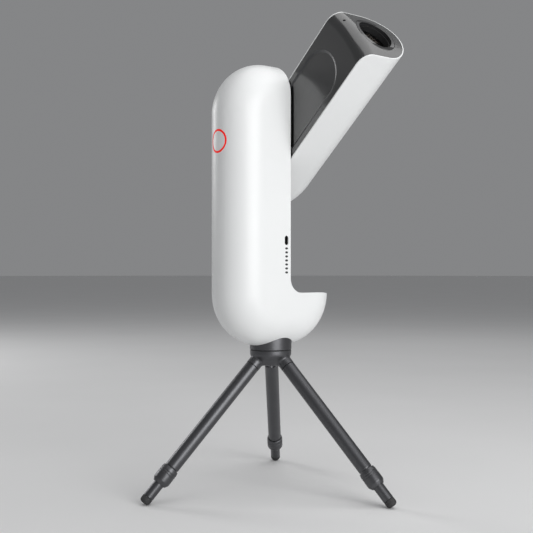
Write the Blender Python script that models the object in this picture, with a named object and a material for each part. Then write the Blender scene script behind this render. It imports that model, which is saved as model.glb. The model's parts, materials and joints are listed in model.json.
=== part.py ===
"""Smart telescope on a short tripod: a closed, pill-shaped body that splits into a fixed pillar
and a swinging optical arm.

Frame: metres, +Z up, z = 0 on the ground, -Y is the front, the pillar is on the -X side and the
arm on the +X side. The body turns about a vertical azimuth axis and the arm about a level axis.
Lengths below are in millimetres and are turned into metres where meshes are made.
"""

import math

import bmesh
import bpy
from mathutils import Euler, Matrix, Vector

MM = 0.001

# ---- driving dimensions, millimetres and degrees --------------------------------------------
GAP = 0.3                      # between pieces that touch
AZIMUTH_AXIS = (30.2, 19.1)    # X and Y of the upright axis, so that the box is centred on 0, 0

BODY_BOTTOM = 208.2            # height of the closed body's lowest line above the ground
BODY_HEIGHT = 400.0
BODY_WIDTH = 188.0
BODY_DEPTH = 90.0
BODY_CORNER = 75.0             # corner radius seen from the front
WALL = 2.5                     # shell walls
COVER_WALL = 2.5               # cover on the pillar's inner side
ARM_COVER_WALL = 4.0           # cover on the arm's inner side and end

ALTITUDE_HEIGHT = 286.1        # altitude axis above the body's bottom
ARM_TILT = 50.0                # arm from the vertical, towards the front, at rest
SHELF_RADIUS = 215.0           # hollow shelf under the closed arm, about the altitude axis
SHELF_FILLET = 20.0
ARM_CLEARANCE = 1.5            # between the arm and the pillar all round
PANEL_HALF_WIDTH = 36.0        # long round-ended recess in the arm's inner side
PANEL_LENGTH = 132.0
PANEL_DEPTH = 1.5

ARM_TURN = 180.0 - ARM_TILT    # from the closed position to rest, about the altitude axis

LENS_X = 48.0                  # optical axis, from the plane between pillar and arm
LENS_OPENING = 25.6            # radius of the hood's mouth
LENS_APERTURE = 24.0
LENS_RING = 30.4               # outer radius of the ring round the lens

BUTTON_RADIUS = 13.7
RING_LIGHT_RADIUS = 16.3
BUTTON_TRAVEL = 0.9
BUTTON_BACK = -85.2            # inner face of the button
PORT_X = -7.6
PORT_HEIGHT = 149.6            # charging port above the body's bottom
PORT_SIZE = (3.9, 12.6)

NECK_RADIUS = 30.0
NECK_TOP = 226.0
SPIGOT_RADIUS = 18.0           # stub on the neck that carries the bearing
SPIGOT_TOP = 246.0
BEARING_FLOOR = 234.0          # underside of the bearing plate
CROWN_TOP = 201.2
PAD_THICKNESS = 1.0
CROWN_RADIUS = 29.8
SEAM_HEIGHT = 179.0            # where each leg screws into the crown
SEAM_OFFSET = 29.0
LEG_TILT = 43.0                # from the vertical
LEG_AZIMUTHS = (48.7, 168.7, 288.7)
LEG_RADIUS = 10.0
TUBE_BORE = 7.8
LEG_STUD = (6.0, 12.0)         # radius and length of the stud screwed into the crown
COLLAR_START = 181.0           # distances along a leg from its seam
COLLAR_END = 208.0
COLLAR_RADIUS = 12.2
COLLAR_SEAT = (9.0, 12.0)      # radius and length of the tube's end inside the collar
LOWER_RADIUS = 7.5
LOWER_START = 62.0
LOWER_END = 230.5
LEG_LENGTH = 240.2             # to the rubber tip's end, before its flat is cut

GEAR_WIDTH = 6.0
AZIMUTH_GEAR = (48, 27.0)      # teeth, pitch radius
AZIMUTH_PINION = (12, 6.75)
ALTITUDE_GEAR = (48, 30.0)
ALTITUDE_PINION = (12, 7.5)
ALTITUDE_GEAR_X = -54.0        # outer face of the altitude gear
PINION_SHAFT = 2.5             # radius
MOTOR_RADIUS = 13.5
SHAFT_RADIUS = 12.0            # hollow shaft of the altitude axis
SHAFT_BORE = 7.0
BEARING_RADIUS = 17.0
BEARING_WIDTH = 7.0
BEARING_STARTS = (-45.5, -14.0)

FRONT_BARREL = (26.8, 29.6)    # bore and outer radius
REAR_BARREL = (20.3, 24.0)
OBJECTIVE_LENSES = (           # radius, front edge and back edge from the axis, bulge
    (26.4, 199.0, 195.0, 4.0),
    (26.4, 189.0, 185.0, 2.5),
    (20.0, 96.0, 92.0, 2.5),
    (20.0, 60.0, 57.0, 1.5),
)
SENSING_HOLE = (10.0, -24.8, 1.2)  # X, Y and radius of the small hole in the arm's end
FOCUS_SCREW = (19.5, 0.0, 0.0)
FOCUS_SCREW_RADIUS = 2.0
FOCUS_RAILS = ((19.5, -24.0, 0.0), (19.5, 24.0, 0.0))
RAIL_RADIUS = 1.5
SCREW_PLACES = ((24.0, 76.0), (-24.0, 76.0), (24.0, -150.0), (-24.0, -150.0))
SCREW_RADIUS = 1.4
SCREW_HEAD_RADIUS = 2.8

# ---- materials: colour, roughness, metallic -------------------------------------------------
FINISHES = {
    "white_gloss": ((0.80, 0.81, 0.81), 0.18, 0.0),
    "dark_cover": ((0.028, 0.029, 0.031), 0.32, 0.0),
    "graphite_metal": ((0.085, 0.085, 0.09), 0.38, 0.9),
    "black_plastic": ((0.02, 0.02, 0.021), 0.45, 0.0),
    "rubber": ((0.025, 0.025, 0.025), 0.8, 0.0),
    "aluminium": ((0.62, 0.63, 0.65), 0.35, 1.0),
    "steel": ((0.55, 0.55, 0.56), 0.3, 1.0),
    "brass": ((0.72, 0.55, 0.25), 0.3, 1.0),
    "glass": ((0.55, 0.62, 0.66), 0.02, 0.0),
    "red_light": ((0.8, 0.05, 0.02), 0.3, 0.0),
    "circuit_board": ((0.02, 0.10, 0.05), 0.5, 0.0),
    "battery_wrap": ((0.04, 0.08, 0.16), 0.45, 0.0),
}


# ---- making objects -------------------------------------------------------------------------
def clear_scene():
    for obj in list(bpy.data.objects):
        bpy.data.objects.remove(obj, do_unlink=True)


def finish_material(name):
    """The Principled material of one finish, made once."""
    if name in bpy.data.materials:
        return bpy.data.materials[name]
    colour, roughness, metallic = FINISHES[name]
    material = bpy.data.materials.new(name)
    material.use_nodes = True
    shader = material.node_tree.nodes["Principled BSDF"]
    shader.inputs["Base Color"].default_value = (*colour, 1.0)
    shader.inputs["Roughness"].default_value = roughness
    shader.inputs["Metallic"].default_value = metallic
    return material


def add_object(name, bm, parent=None, finish=None, location=(0, 0, 0), rotation=(0, 0, 0)):
    """An object in the scene from a bmesh in millimetres; with no finish it is a cutter."""
    bmesh.ops.scale(bm, vec=(MM, MM, MM), verts=bm.verts)
    bmesh.ops.recalc_face_normals(bm, faces=bm.faces)
    mesh = bpy.data.meshes.new(name)
    bm.to_mesh(mesh)
    bm.free()
    mesh.shade_smooth()
    mesh.set_sharp_from_angle(angle=math.radians(30))
    obj = bpy.data.objects.new(name, mesh)
    bpy.context.scene.collection.objects.link(obj)
    obj.parent = parent
    obj.location = Vector(location) * MM
    obj.rotation_euler = Euler([math.radians(a) for a in rotation])
    if finish is None:
        obj.hide_render = True
        obj.display_type = "WIRE"
    else:
        mesh.materials.append(finish_material(finish))
    return obj


def add_empty(name, location, parent=None, rotation=(0, 0, 0)):
    """A joint's axis; what moves on it is parented to it."""
    empty = bpy.data.objects.new(name, None)
    bpy.context.scene.collection.objects.link(empty)
    empty.parent = parent
    empty.location = Vector(location) * MM
    empty.rotation_euler = Euler([math.radians(a) for a in rotation])
    return empty


def boolean(obj, operation, *others):
    """Cut, join or intersect an object with hidden tool objects."""
    for other in others:
        modifier = obj.modifiers.new(operation.lower(), "BOOLEAN")
        modifier.operation = operation
        modifier.solver = "EXACT"
        modifier.object = other
    return obj


# ---- shapes, millimetres --------------------------------------------------------------------
def lathe(profile, segments, axis="Z", centre=(0, 0, 0)):
    """A profile of (radius, height) points spun a full turn about an axis through centre."""
    bm = bmesh.new()
    verts = [bm.verts.new((r, 0, h)) for r, h in profile]
    pairs = zip(verts, verts[1:] + verts[:1])
    edges = [bm.edges.new(pair) for pair in pairs if pair[0].co.x > 0 or pair[1].co.x > 0]
    bmesh.ops.spin(
        bm, geom=verts + edges, cent=(0, 0, 0), axis=(0, 0, 1), angle=math.tau,
        steps=segments, use_merge=True, use_duplicate=False,
    )
    bmesh.ops.remove_doubles(bm, verts=bm.verts, dist=1e-4)
    turn = {"Z": Matrix.Identity(3), "X": Euler((0, math.pi / 2, 0)).to_matrix()}[axis]
    bmesh.ops.transform(bm, matrix=turn.to_4x4(), verts=bm.verts)
    bmesh.ops.translate(bm, vec=centre, verts=bm.verts)
    return bm


def rod(radius, low, high, segments=24, axis="Z", centre=(0, 0, 0)):
    return lathe([(0, low), (radius, low), (radius, high), (0, high)], segments, axis, centre)


def tube(inner, outer, low, high, segments=24, axis="Z", centre=(0, 0, 0)):
    profile = [(inner, low), (outer, low), (outer, high), (inner, high)]
    return lathe(profile, segments, axis, centre)


def block(low, high):
    """A box from its lowest and highest corners."""
    bm = bmesh.new()
    bmesh.ops.create_cube(bm, size=1)
    size = [b - a for a, b in zip(low, high)]
    bmesh.ops.scale(bm, vec=size, verts=bm.verts)
    bmesh.ops.translate(bm, vec=[(a + b) / 2 for a, b in zip(low, high)], verts=bm.verts)
    return bm


def prism(outline, low, high, axis="Z"):
    """A flat outline of (u, v) points carried from low to high along an axis.

    (u, v) is (X, Y) for axis Z, (Y, Z) for axis X and (X, Z) for axis Y.
    """
    place = {
        "Z": lambda u, v, w: (u, v, w),
        "X": lambda u, v, w: (w, u, v),
        "Y": lambda u, v, w: (u, w, v),
    }[axis]
    bm = bmesh.new()
    rings = [[bm.verts.new(place(u, v, w)) for u, v in outline] for w in (low, high)]
    skin(bm, rings)
    return bm


def skin(bm, rings):
    """Quads between neighbouring rings of equal length, and a flat face on both ends."""
    count = len(rings[0])
    for ring, after in zip(rings, rings[1:]):
        for i in range(count):
            j = (i + 1) % count
            bm.faces.new((ring[i], ring[j], after[j], after[i]))
    bm.faces.new(rings[0])
    bm.faces.new(rings[-1])


def arc(centre, radius, start, end, steps):
    """Points along an arc, in degrees, both ends included."""
    angles = [math.radians(start + (end - start) * i / steps) for i in range(steps + 1)]
    return [(centre[0] + radius * math.cos(a), centre[1] + radius * math.sin(a)) for a in angles]


def stadium(half_width, start, end, steps=10, across=0.0):
    """A round-ended slot outline along v from start to end, centred on u = across."""
    top = arc((across, max(start, end)), half_width, 0, 180, steps)
    bottom = arc((across, min(start, end)), half_width, 180, 360, steps)
    return top + bottom


def rounded_slab(inset, corner_steps=8, edge_steps=12):
    """The closed body: a flat plate with every edge rounded by a half circle, centred on the
    altitude axis. Inset moves the whole surface inwards."""
    ball = BODY_DEPTH / 2 - inset
    half_width = BODY_WIDTH / 2 - BODY_DEPTH / 2
    plate_corner = BODY_CORNER - BODY_DEPTH / 2
    bottom = -ALTITUDE_HEIGHT + BODY_DEPTH / 2
    top = BODY_HEIGHT - ALTITUDE_HEIGHT - BODY_DEPTH / 2
    bm = bmesh.new()
    rings = []
    for step in range(edge_steps + 1):
        angle = math.radians(-90 + 180 * step / edge_steps)
        grow = ball * math.cos(angle)
        radius = plate_corner + grow
        x, y = half_width - plate_corner, ball * math.sin(angle)
        outline = []
        for cx, cz, start in (
            (x, top - plate_corner, 0),
            (-x, top - plate_corner, 90),
            (-x, bottom + plate_corner, 180),
            (x, bottom + plate_corner, 270),
        ):
            outline += arc((cx, cz), radius, start, start + 90, corner_steps)
        rings.append([bm.verts.new((px, y, pz)) for px, pz in outline])
    skin(bm, rings)
    return bm


def swing_space(start_x, radius, fillet, reach=120.0, half_angle=20.0, arc_steps=12):
    """What the arm sweeps below the altitude axis: bounded by a radius about the axis, by the
    plane X = start_x, and by a fillet between the two."""
    bm = bmesh.new()
    profile = [(start_x, radius - fillet)]
    for x, r in arc((start_x + fillet, radius - fillet), fillet, 180, 90, 6)[1:]:
        profile.append((x, r))
    profile.append((reach, radius))
    rings = []
    for x, r in profile:
        points = []
        for step in range(arc_steps + 1):
            angle = math.radians(-half_angle + 2 * half_angle * step / arc_steps)
            points.append((r * math.sin(angle), -r * math.cos(angle)))
        side = radius * math.sin(math.radians(half_angle))
        points += [(side, 150.0), (-side, 150.0)]
        rings.append([bm.verts.new((x, y, z)) for y, z in points])
    skin(bm, rings)
    return bm


def gear(teeth, pitch_radius, low, high, bore, axis="Z", centre=(0, 0, 0), turn=0.0):
    """A spur gear with straight-flanked teeth, thin enough to run with backlash."""
    module = 2 * pitch_radius / teeth
    outer, root = pitch_radius + 0.85 * module, pitch_radius - 1.15 * module
    pitch = math.tau / teeth
    outline = []
    for tooth in range(teeth):
        middle = tooth * pitch + math.radians(turn)
        for radius, share in ((root, -0.31), (outer, -0.10), (outer, 0.10), (root, 0.31)):
            angle = middle + share * pitch
            outline.append((radius * math.cos(angle), radius * math.sin(angle)))
    bm = bmesh.new()
    rings = [[bm.verts.new((x, y, z)) for x, y in outline] for z in (low, high)]
    skin(bm, rings)
    if axis == "X":
        bmesh.ops.rotate(bm, verts=bm.verts, matrix=Matrix(((0, 0, 1), (1, 0, 0), (0, 1, 0))))
    bmesh.ops.translate(bm, vec=centre, verts=bm.verts)
    hole = rod(bore, low - 1, high + 1, 24, axis, centre)
    return bm, hole


def add_gear(name, parent, finish, **shape):
    body, hole = gear(**shape)
    obj = add_object(name, body, parent, finish)
    return boolean(obj, "DIFFERENCE", add_object(name + "_bore", hole, parent))


# ---- tripod ---------------------------------------------------------------------------------
def leg_frame(azimuth):
    """Location and rotation of a leg's own frame: its +Z runs down the leg from the seam."""
    a = math.radians(azimuth)
    location = (SEAM_OFFSET * math.cos(a), SEAM_OFFSET * math.sin(a), SEAM_HEIGHT)
    return location, (0, 180 - LEG_TILT, azimuth)


def foot_profile():
    """The rubber tip: a sleeve over the lower tube's end, with a rounded bottom."""
    start, end = LOWER_END + GAP, LEG_LENGTH
    outer = LOWER_RADIUS + 0.4
    tip = arc((outer - 3.0, end - 3.0), 3.0, 0, 90, 4)
    return [(0, start), (outer, start), *tip, (0, end)]


def make_tripod(stand):
    crown = add_object("tripod_crown", lathe([
        (5.2, 182.0), (18.0, 182.0), (CROWN_RADIUS - 1.5, 188.0), (CROWN_RADIUS, 192.0),
        (CROWN_RADIUS, CROWN_TOP), (5.2, CROWN_TOP),
    ], 36), stand, "graphite_metal")
    ground = add_object("ground_plane_cut", block((-300, -300, -40), (300, 300, 0)), stand)
    for number, azimuth in enumerate(LEG_AZIMUTHS, 1):
        location, rotation = leg_frame(azimuth)
        leg = add_empty(f"leg_axis_{number}", location, stand, rotation)
        make_leg(number, leg, ground)
        socket = add_object(f"crown_socket_{number}", rod(
            LEG_RADIUS + 0.6, -20.0, -GAP, 24), leg)
        seat = add_object(f"crown_seat_{number}", rod(
            LEG_STUD[0] + GAP, -LEG_STUD[1] - GAP, 1.0, 16), leg)
        boolean(crown, "UNION", socket)
        boolean(crown, "DIFFERENCE", seat)
    add_object("crown_top_pad", tube(
        6.5, CROWN_RADIUS - 2.0, CROWN_TOP + GAP, CROWN_TOP + PAD_THICKNESS, 32), stand, "rubber")
    add_object("tripod_screw", lathe([
        (0, 175.0), (7.0, 175.0), (8.0, 176.0), (8.0, 181.7), (4.7, 181.7),
        (4.7, 215.0), (3.9, 216.0), (0, 216.0),
    ], 20), stand, "steel")


def make_leg(number, leg, ground):
    """Fixed upper tube, twist-lock collar, sliding lower tube and rubber tip."""
    stud, depth = LEG_STUD
    seat, overlap = COLLAR_SEAT
    tube_end = COLLAR_END - overlap
    add_object(f"leg_tube_{number}", lathe([
        (0, -depth), (stud, -depth), (stud, 0.0), (LEG_RADIUS, 0.0), (LEG_RADIUS, COLLAR_START),
        (seat, COLLAR_START + 0.5), (seat, tube_end), (TUBE_BORE, tube_end),
        (TUBE_BORE, depth), (0, depth),
    ], 24), leg, "graphite_metal")
    start = COLLAR_START + 0.5 + GAP
    add_object(f"lock_collar_{number}", lathe([
        (seat + GAP, start), (COLLAR_RADIUS - 1.0, start), (COLLAR_RADIUS, start + 1.0),
        (COLLAR_RADIUS, COLLAR_END - 5.0), (COLLAR_RADIUS - 3.0, COLLAR_END),
        (TUBE_BORE, COLLAR_END), (TUBE_BORE, tube_end + GAP), (seat + GAP, tube_end + GAP),
    ], 24), leg, "graphite_metal")
    add_object(f"lower_leg_{number}", rod(
        LOWER_RADIUS, LOWER_START, LOWER_END, 20), leg, "graphite_metal")
    foot = add_object(f"rubber_foot_{number}", lathe(foot_profile(), 20), leg, "rubber")
    boolean(foot, "DIFFERENCE", ground)


def make_neck(stand):
    """The fixed base the body turns on, with its gear and the bearing's inner ring."""
    bottom = CROWN_TOP + PAD_THICKNESS + GAP
    add_object("base_neck", lathe([
        (5.2, bottom), (NECK_RADIUS - 0.6, bottom), (NECK_RADIUS, bottom + 0.6),
        (NECK_RADIUS, NECK_TOP), (SPIGOT_RADIUS, NECK_TOP), (SPIGOT_RADIUS, SPIGOT_TOP),
        (0, SPIGOT_TOP), (0, NECK_TOP - 4.0), (5.2, NECK_TOP - 4.0),
    ], 40), stand, "graphite_metal")
    teeth, pitch_radius = AZIMUTH_GEAR
    floor = NECK_TOP + GAP
    add_gear("azimuth_ring_gear", stand, "steel", teeth=teeth, pitch_radius=pitch_radius,
             low=floor, high=floor + GEAR_WIDTH, bore=SPIGOT_RADIUS + GAP, turn=180 / teeth)
    add_object("azimuth_bearing_inner", tube(
        SPIGOT_RADIUS + GAP, 21.6, BEARING_FLOOR - 0.5, BEARING_FLOOR + 5.0, 28), stand, "steel")


# ---- pillar ---------------------------------------------------------------------------------
def make_pillar(pillar):
    """Everything that turns in azimuth; pillar is an empty on the azimuth axis at the altitude
    axis' height, so the shells share one set of coordinates."""
    cut = add_object("notch_cut", swing_space(0.0, SHELF_RADIUS, SHELF_FILLET), pillar)
    button = (0, 0, 0)
    shell = add_object("pillar_shell", rounded_slab(0.0), pillar, "white_gloss")
    boolean(
        shell, "DIFFERENCE",
        add_object("pillar_hollow", rounded_slab(WALL), pillar),
        cut,
        add_object("neck_hole", rod(NECK_RADIUS + 0.6, -300, -245, 40), pillar),
        add_object("button_hole", rod(
            RING_LIGHT_RADIUS + GAP, -110, -75, 32, "X", button), pillar),
        add_object("port_hole", prism(stadium(
            PORT_SIZE[0] / 2, *port_span(), steps=6, across=PORT_X), -60, -30, "Y"), pillar),
    )
    make_pillar_cover(pillar, cut)
    make_chassis(pillar)
    make_controls(pillar)
    make_electronics(pillar)
    make_pinions(pillar)


def port_span():
    middle = PORT_HEIGHT - ALTITUDE_HEIGHT
    reach = (PORT_SIZE[1] - PORT_SIZE[0]) / 2
    return middle - reach, middle + reach


def make_pillar_cover(pillar, notch):
    """The dark cover on the pillar's inner side, which runs on over the shelf."""
    cover = add_object("pillar_inner_cover", swing_space(
        -COVER_WALL, SHELF_RADIUS + COVER_WALL, SHELF_FILLET + COVER_WALL), pillar, "dark_cover")
    boolean(cover, "DIFFERENCE", notch)
    boolean(cover, "INTERSECT", add_object("cover_edge", rounded_slab(WALL + GAP), pillar))
    boolean(cover, "DIFFERENCE", add_object("shaft_hole", rod(
        14.0, -10, 10, 28, "X"), pillar))
    shank, head = SCREW_RADIUS, SCREW_HEAD_RADIUS
    for number, (y, z) in enumerate(SCREW_PLACES, 1):
        place = (0, y, z)
        boolean(cover, "DIFFERENCE", add_object(
            f"cover_screw_hole_{number}", lathe([
                (0, -9.0), (shank + GAP, -9.0), (shank + GAP, -1.7), (head + GAP, -1.7),
                (head + GAP, 5.0), (0, 5.0),
            ], 14, "X", place), pillar))
        add_object(f"cover_screw_{number}", lathe([
            (0, -8.0), (shank, -8.0), (shank, -1.4), (head, -1.4), (head, -0.4),
            (head - 0.4, 0.0), (0, 0.0),
        ], 14, "X", place), pillar, "steel")


def make_chassis(pillar):
    """Metal frame: an upright plate beside the cover, standing on the bearing plate."""
    floor = BEARING_FLOOR - BODY_BOTTOM - ALTITUDE_HEIGHT
    frame = add_object("chassis_frame", block((-6.0, -33.0, floor + 2.0), (-3.0, 33.0, 88.0)),
                       pillar, "aluminium")
    plate = add_object("bearing_plate", block((-50.0, -30.0, floor), (40.0, 30.0, floor + 5.0)),
                       pillar)
    boolean(frame, "UNION", plate)
    cuts = [
        add_object("bearing_seat", rod(27.3, floor - 2, floor + 7, 32), pillar),
        add_object("pinion_hole", rod(
            3.6, floor - 2, floor + 7, 16, centre=(-pinion_distance(), 0, 0)), pillar),
        add_object("spigot_space", rod(SPIGOT_RADIUS + 1.0, floor, floor + 14, 24), pillar),
        add_object("shaft_passage", rod(BEARING_RADIUS + 0.4, -10, 5, 28, "X"), pillar),
    ]
    for number, (y, z) in enumerate(SCREW_PLACES, 1):
        cuts.append(add_object(f"chassis_screw_hole_{number}", rod(
            SCREW_RADIUS + GAP, -10, 0, 14, "X", (0, y, z)), pillar))
    boolean(frame, "DIFFERENCE", *cuts)
    add_object("azimuth_bearing_outer", tube(
        21.9, 27.0, floor - 0.3, floor + 5.0, 28), pillar, "steel")
    motor_floor = floor + 5.0 + GAP
    bore = PINION_SHAFT + 0.4
    add_object("azimuth_motor", lathe([
        (bore, motor_floor), (MOTOR_RADIUS - 1, motor_floor), (MOTOR_RADIUS, motor_floor + 1),
        (MOTOR_RADIUS, motor_floor + 34), (MOTOR_RADIUS - 1, motor_floor + 35),
        (0, motor_floor + 35), (0, motor_floor + 8), (bore, motor_floor + 8),
    ], 24, centre=(-pinion_distance(), 0, 0)), pillar, "aluminium")
    seat = BEARING_RADIUS + GAP
    add_object("altitude_bearing_housing", lathe([
        (seat, -46.0), (21.5, -46.0), (21.5, -11.0), (23.5, -11.0), (23.5, -6.3), (seat, -6.3),
    ], 28, "X"), pillar, "aluminium")
    for number, start in enumerate(BEARING_STARTS, 1):
        add_object(f"altitude_bearing_{number}", tube(
            SHAFT_RADIUS + GAP, BEARING_RADIUS, start, start + BEARING_WIDTH, 28, "X"),
            pillar, "steel")
    drop = ALTITUDE_GEAR[1] + ALTITUDE_PINION[1]
    add_object("altitude_motor", lathe([
        (bore, -46.0), (MOTOR_RADIUS - 0.5, -46.0), (MOTOR_RADIUS, -45.5), (MOTOR_RADIUS, -7.0),
        (MOTOR_RADIUS - 0.5, -6.3), (0, -6.3), (0, -36.0), (bore, -36.0),
    ], 24, "X", (0, 0, -drop)), pillar, "aluminium")


def pinion_distance():
    return AZIMUTH_GEAR[1] + AZIMUTH_PINION[1]


def make_controls(pillar):
    """The power button, the light ring round it and the switch behind it."""
    skin_surface = add_object("body_surface", rounded_slab(0.0), pillar)
    boolean(add_object("power_button", rod(
        BUTTON_RADIUS, -100, BUTTON_BACK, 28, "X"), pillar, "white_gloss"),
        "INTERSECT", skin_surface)
    light = add_object("button_ring_light", tube(
        BUTTON_RADIUS + GAP, RING_LIGHT_RADIUS, -100, -80, 32, "X"), pillar, "red_light")
    boolean(light, "INTERSECT", skin_surface)
    add_object("button_board", rod(14.5, -79.7, -78.1, 24, "X"), pillar, "circuit_board")
    switch_tip = BUTTON_BACK + BUTTON_TRAVEL + GAP
    add_object("button_switch", block((switch_tip, -3.0, -3.0), (-80.0, 3.0, 3.0)),
               pillar, "black_plastic")


def make_electronics(pillar):
    low, high = port_span()
    board_face = PORT_X - 2.4
    add_object("main_board", block(
        (board_face - 1.9, -41.0, low - 55), (board_face - GAP, 33.0, high + 40)),
        pillar, "circuit_board")
    socket = add_object("usb_c_socket", block(
        (board_face, -42.0, low - 3.2), (PORT_X + 2.4, -34.0, high + 3.2)), pillar, "steel")
    middle = (low + high) / 2
    boolean(socket, "DIFFERENCE", add_object("socket_mouth", prism(stadium(
        1.6, middle - 2.9, middle + 2.9, steps=6, across=PORT_X), -45, -36, "Y"), pillar))
    add_object("battery_pack", block((-68.0, -29.0, low - 55), (-16.0, 29.0, high + 45)),
               pillar, "battery_wrap")


def make_pinions(pillar):
    """The two motor pinions, each on an empty at its own axis."""
    floor = NECK_TOP + GAP - BODY_BOTTOM - ALTITUDE_HEIGHT
    spin = add_empty("azimuth_pinion_axis", (-pinion_distance(), 0, 0), pillar)
    teeth = add_object("azimuth_pinion", gear(
        *AZIMUTH_PINION, floor, floor + GEAR_WIDTH, 1.0)[0], spin, "brass")
    boolean(teeth, "UNION", add_object("azimuth_pinion_shaft", rod(
        PINION_SHAFT, floor + 1, floor + 19.0, 12), spin))
    drop = ALTITUDE_GEAR[1] + ALTITUDE_PINION[1]
    spin = add_empty("altitude_pinion_axis", (0, 0, -drop), pillar)
    teeth = add_object("altitude_pinion", gear(
        *ALTITUDE_PINION, ALTITUDE_GEAR_X, ALTITUDE_GEAR_X + GEAR_WIDTH, 1.0, "X",
        turn=90 + 180 / ALTITUDE_PINION[0])[0], spin, "brass")
    boolean(teeth, "UNION", add_object("altitude_pinion_shaft", rod(
        PINION_SHAFT, ALTITUDE_GEAR_X + 5.0, ALTITUDE_GEAR_X + 17.0, 12, "X"), spin))


# ---- arm ------------------------------------------------------------------------------------
def make_arm(arm):
    """The optical arm in its own frame: origin on the altitude axis, -Z towards the lens."""
    reach = SHELF_RADIUS - ARM_CLEARANCE
    fillet = SHELF_FILLET - 1.0
    shell = add_object("arm_shell", rounded_slab(0.0), arm, "white_gloss")
    boolean(shell, "INTERSECT", add_object("arm_space", swing_space(
        ARM_CLEARANCE, reach, fillet), arm))
    boolean(shell, "DIFFERENCE", add_object("arm_hollow", rounded_slab(WALL), arm))

    cover = add_object("arm_inner_cover", swing_space(ARM_CLEARANCE, reach, fillet), arm,
                       "dark_cover")
    boolean(cover, "DIFFERENCE", add_object("cover_hollow", swing_space(
        ARM_CLEARANCE + ARM_COVER_WALL, reach - ARM_COVER_WALL, fillet - ARM_COVER_WALL,
        reach=140.0), arm))
    boolean(cover, "INTERSECT", add_object("arm_cover_edge", rounded_slab(WALL + GAP), arm))
    hole_x, hole_y, hole_radius = SENSING_HOLE
    boolean(
        cover, "DIFFERENCE",
        add_object("panel_recess", prism(stadium(
            PANEL_HALF_WIDTH, -PANEL_LENGTH, 0, steps=14), -5, ARM_CLEARANCE + PANEL_DEPTH, "X"),
            arm),
        add_object("lens_hole", rod(
            LENS_RING + 0.5, -230, -190, 36, centre=(LENS_X, 0, 0)), arm),
        add_object("arm_shaft_hole", rod(SHAFT_RADIUS + 1.0, -5, 12, 28, "X"), arm),
        add_object("sensing_hole", rod(
            hole_radius, -230.0, -206.5, 12, centre=(hole_x, hole_y, 0)), arm),
    )
    make_optics(arm, reach)
    make_arm_frame(arm)


def make_optics(arm, reach):
    """Everything on the optical axis; distances are from the altitude axis towards the lens."""
    axis = (LENS_X, 0, 0)
    ring = add_object("lens_ring", lathe([
        (LENS_APERTURE, -200.3), (LENS_APERTURE, -208.5), (LENS_OPENING, -208.5),
        (LENS_OPENING, -225.0), (LENS_RING, -225.0), (LENS_RING, -200.3),
    ], 36, centre=axis), arm, "dark_cover")
    boolean(ring, "INTERSECT", add_object("ring_face", swing_space(
        -10.0, reach, 5.0), arm))
    (front_bore, front), (rear_bore, rear) = FRONT_BARREL, REAR_BARREL
    add_object("lens_barrel", lathe([
        (front_bore, -200.0), (front, -200.0), (front, -140.0), (rear, -134.0), (rear, -45.0),
        (rear_bore, -45.0), (rear_bore, -138.0), (front_bore, -142.0),
    ], 28, centre=axis), arm, "aluminium")
    for number, shape in enumerate(OBJECTIVE_LENSES, 1):
        add_object(f"objective_lens_{number}", lens(*shape, axis), arm, "glass")


def lens(radius, far, near, bulge, axis):
    """A lens with both faces domed outwards by bulge and a straight edge."""
    steps = 4
    front = [(radius * i / steps, -far - bulge * (1 - (i / steps) ** 2)) for i in range(steps + 1)]
    back = [(radius * i / steps, -near + 0.5 * bulge * (1 - (i / steps) ** 2))
            for i in range(steps, -1, -1)]
    return lathe(front + back, 24, centre=axis)


def make_arm_frame(arm):
    """Chassis plate with two saddles for the barrel and an end block for the focus drive."""
    frame = add_object("arm_chassis", block((6.0, -32.0, -186.0), (10.0, 32.0, 76.0)), arm,
                       "aluminium")
    boolean(
        frame, "UNION",
        add_object("front_saddle", block((9.0, -33.0, -180.0), (LENS_X, 33.0, -168.0)), arm),
        add_object("rear_saddle", block((9.0, -30.0, -62.0), (LENS_X, 30.0, -50.0)), arm),
        add_object("end_block", block((9.0, -28.0, 50.0), (30.0, 28.0, 56.0)), arm),
    )
    boolean(
        frame, "DIFFERENCE",
        add_object("front_saddle_bore", rod(
            FRONT_BARREL[1] + GAP, -190, -160, 28, centre=(LENS_X, 0, 0)), arm),
        add_object("rear_saddle_bore", rod(
            REAR_BARREL[1] + GAP, -70, -40, 28, centre=(LENS_X, 0, 0)), arm),
        add_object("shaft_seat", rod(SHAFT_RADIUS + GAP, 0, 15, 28, "X"), arm),
        add_object("focus_screw_bore", rod(
            FOCUS_SCREW_RADIUS + 0.6, 40, 60, 12, centre=FOCUS_SCREW), arm),
        *(add_object(f"rail_bore_{number}", rod(
            RAIL_RADIUS + GAP, -60, 60, 12, centre=place), arm)
          for number, place in enumerate(FOCUS_RAILS, 1)),
    )
    add_object("altitude_shaft", lathe([
        (SHAFT_BORE, -56.0), (SHAFT_RADIUS, -56.0), (SHAFT_RADIUS, 10.3), (22.0, 10.3),
        (22.0, 14.0), (SHAFT_BORE, 14.0),
    ], 28, "X"), arm, "steel")
    teeth, pitch_radius = ALTITUDE_GEAR
    add_gear("altitude_gear", arm, "steel", teeth=teeth, pitch_radius=pitch_radius,
             low=ALTITUDE_GEAR_X, high=ALTITUDE_GEAR_X + GEAR_WIDTH,
             bore=SHAFT_RADIUS + GAP, axis="X", turn=ARM_TURN - 90)
    for number, place in enumerate(FOCUS_RAILS, 1):
        add_object(f"focus_rail_{number}", rod(
            RAIL_RADIUS, -58, 54, 12, centre=place), arm, "steel")
    add_object("focus_motor", lathe([
        (2.6, 56.3), (7.0, 56.3), (7.5, 57.0), (7.5, 76.0), (0, 76.0), (0, 67.0), (2.6, 67.0),
    ], 20, centre=FOCUS_SCREW), arm, "aluminium")


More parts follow.
